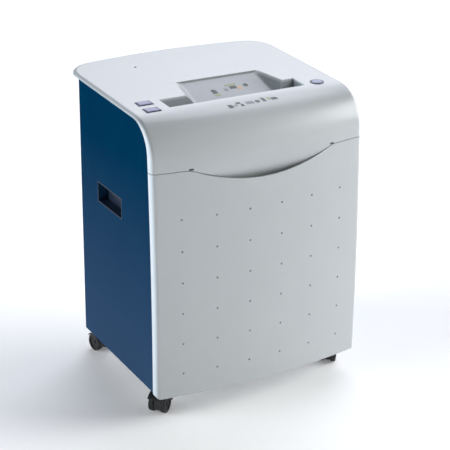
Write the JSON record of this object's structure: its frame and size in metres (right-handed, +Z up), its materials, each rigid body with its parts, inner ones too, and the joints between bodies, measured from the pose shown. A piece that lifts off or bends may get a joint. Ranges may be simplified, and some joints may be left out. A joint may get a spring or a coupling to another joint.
{
  "type": "paper shredder",
  "caption": "Free-standing office paper shredder on casters, with a pull-out waste drawer behind a bowed front, a feed slot in the sloping top and push buttons.",
  "frame": {"origin": "on the floor under the centre of the outside box", "axes": "+Z up, -Y towards the front with the drawer, +X to the right seen from the front"},
  "size_m": [0.38, 0.3609, 0.5064],
  "materials": {
    "pearl_shell": "pearl white, fine grain",
    "blue_panel": "petrol blue powder coat",
    "dark_cup": "near-black blue moulding",
    "grey_sheet": "light grey paint",
    "zinc_steel": "zinc plated",
    "cutter_steel": "hardened, oiled",
    "bronze_bush": "sintered bronze",
    "black_plastic": "black moulding",
    "wheel_rubber": "black wheel",
    "motor_paint": "black paint",
    "capacitor_can": "drawn can",
    "circuit_board": "green board",
    "navy_bezel": "dark navy",
    "lavender_key": "grey lavender",
    "smoke_lens": "smoked lens"
  },
  "bodies": {
    "cabinet": {"top_cover": "pearl_shell", "left_side_panel": "blue_panel", "right_side_panel": "blue_panel", "left_grip_cup": "dark_cup", "right_grip_cup": "dark_cup", "base_tray": "grey_sheet", "back_panel": "grey_sheet", "front_beam": "grey_sheet", "motor_shelf": "grey_sheet", "left_cutter_frame": "zinc_steel", "right_cutter_frame": "zinc_steel", "cutter_tie_rods": "zinc_steel", "motor_mount": "zinc_steel", "cabinet_screws": "zinc_steel", "left_drawer_rail": "zinc_steel", "right_drawer_rail": "zinc_steel", "chip_chute": "zinc_steel", "shaft_bushes": "bronze_bush", "feed_throat": "black_plastic", "front_stripper_comb": "black_plastic", "rear_stripper_comb": "black_plastic", "gearbox_cover": "black_plastic", "interlock_switch": "black_plastic", "paper_sensor": "black_plastic", "power_inlet": "black_plastic", "thermal_breaker": "black_plastic", "caster_sockets": "black_plastic", "motor_body": "motor_paint", "run_capacitor": "capacitor_can", "control_board": "circuit_board", "key_board": "circuit_board", "power_switch_board": "circuit_board", "button_bezels": "navy_bezel", "power_bezel": "navy_bezel", "status_lamp": "smoke_lens"},
    "drawer": {"drawer_front": "pearl_shell", "drawer_frame": "zinc_steel", "waste_bin": "black_plastic", "left_drawer_runner": "zinc_steel", "right_drawer_runner": "zinc_steel"},
    "switch_plunger": {"interlock_plunger": "black_plastic"},
    "forward_key": {"forward_button": "lavender_key"},
    "reverse_key": {"reverse_button": "lavender_key"},
    "power_key": {"power_button": "lavender_key"},
    "front_cutting_shaft": {"front_cutter": "cutter_steel", "front_timing_gear": "cutter_steel"},
    "rear_cutting_shaft": {"rear_cutter": "cutter_steel", "rear_timing_gear": "cutter_steel", "drive_gear": "cutter_steel"},
    "idler": {"idler_gear": "cutter_steel"},
    "rotor": {"motor_rotor": "cutter_steel", "motor_fan": "black_plastic"},
    "caster_front_left": {"caster_fork_front_left": "black_plastic"},
    "wheels_front_left": {"caster_wheels_front_left": "wheel_rubber"},
    "caster_front_right": {"caster_fork_front_right": "black_plastic"},
    "wheels_front_right": {"caster_wheels_front_right": "wheel_rubber"},
    "caster_rear_left": {"caster_fork_rear_left": "black_plastic"},
    "wheels_rear_left": {"caster_wheels_rear_left": "wheel_rubber"},
    "caster_rear_right": {"caster_fork_rear_right": "black_plastic"},
    "wheels_rear_right": {"caster_wheels_rear_right": "wheel_rubber"}
  },
  "joints": [
    {"name": "drawer_slide", "type": "slide", "parent": "cabinet", "child": "drawer", "axis": [0, -1, 0], "range_m": [0, 0.2]},
    {"name": "plunger_slide", "type": "slide", "parent": "cabinet", "child": "switch_plunger", "axis": [0, -1, 0], "range_m": [0, 0.003]},
    {"name": "forward_press", "type": "slide", "parent": "cabinet", "child": "forward_key", "axis": [0, 0, -1], "range_m": [0, 0.0015], "stiffness_N_per_m": 500, "springref_m": -0.001},
    {"name": "reverse_press", "type": "slide", "parent": "cabinet", "child": "reverse_key", "axis": [0, 0, -1], "range_m": [0, 0.0015], "stiffness_N_per_m": 500, "springref_m": -0.001},
    {"name": "power_press", "type": "slide", "parent": "cabinet", "child": "power_key", "axis": [0, 0, -1], "range_m": [0, 0.0015], "stiffness_N_per_m": 500, "springref_m": -0.001},
    {"name": "rear_cutter_spin", "type": "hinge", "parent": "cabinet", "child": "rear_cutting_shaft", "pos_m": [0, -0.05225, 0.43], "axis": [1, 0, 0], "continuous": true},
    {"name": "front_cutter_spin", "type": "hinge", "parent": "cabinet", "child": "front_cutting_shaft", "pos_m": [0, -0.09225, 0.43], "axis": [1, 0, 0], "continuous": true},
    {"name": "idler_spin", "type": "hinge", "parent": "cabinet", "child": "idler", "pos_m": [0.15, -0.0085, 0.43], "axis": [1, 0, 0], "continuous": true},
    {"name": "rotor_spin", "type": "hinge", "parent": "cabinet", "child": "rotor", "pos_m": [0.07, 0.0215, 0.43], "axis": [1, 0, 0], "continuous": true},
    {"name": "swivel_front_left", "type": "hinge", "parent": "cabinet", "child": "caster_front_left", "pos_m": [-0.161, -0.12625, 0.044], "axis": [0, 0, 1], "continuous": true},
    {"name": "roll_front_left", "type": "hinge", "parent": "caster_front_left", "child": "wheels_front_left", "pos_m": [-0.16866, -0.13267, 0.0155], "axis": [0.6428, -0.766, 0], "continuous": true},
    {"name": "swivel_front_right", "type": "hinge", "parent": "cabinet", "child": "caster_front_right", "pos_m": [0.161, -0.12625, 0.044], "axis": [0, 0, 1], "continuous": true},
    {"name": "roll_front_right", "type": "hinge", "parent": "caster_front_right", "child": "wheels_front_right", "pos_m": [0.16743, -0.11859, 0.0155], "axis": [-0.766, 0.6428, 0], "continuous": true},
    {"name": "swivel_rear_left", "type": "hinge", "parent": "cabinet", "child": "caster_rear_left", "pos_m": [-0.161, 0.09875, 0.044], "axis": [0, 0, 1], "continuous": true},
    {"name": "roll_rear_left", "type": "hinge", "parent": "caster_rear_left", "child": "wheels_rear_left", "pos_m": [-0.16274, 0.1086, 0.0155], "axis": [-0.9848, -0.1736, 0], "continuous": true},
    {"name": "swivel_rear_right", "type": "hinge", "parent": "cabinet", "child": "caster_rear_right", "pos_m": [0.161, 0.09875, 0.044], "axis": [0, 0, 1], "continuous": true},
    {"name": "roll_rear_right", "type": "hinge", "parent": "caster_rear_right", "child": "wheels_rear_right", "pos_m": [0.16274, 0.1086, 0.0155], "axis": [-0.9848, 0.1736, 0], "continuous": true}
  ],
  "couplings": [
    {"joint": "plunger_slide", "follows": "drawer_slide", "ratio": 0.015},
    {"joint": "front_cutter_spin", "follows": "rear_cutter_spin", "ratio": -1},
    {"joint": "idler_spin", "follows": "rear_cutter_spin", "ratio": -4},
    {"joint": "rotor_spin", "follows": "rear_cutter_spin", "ratio": 16}
  ]
}
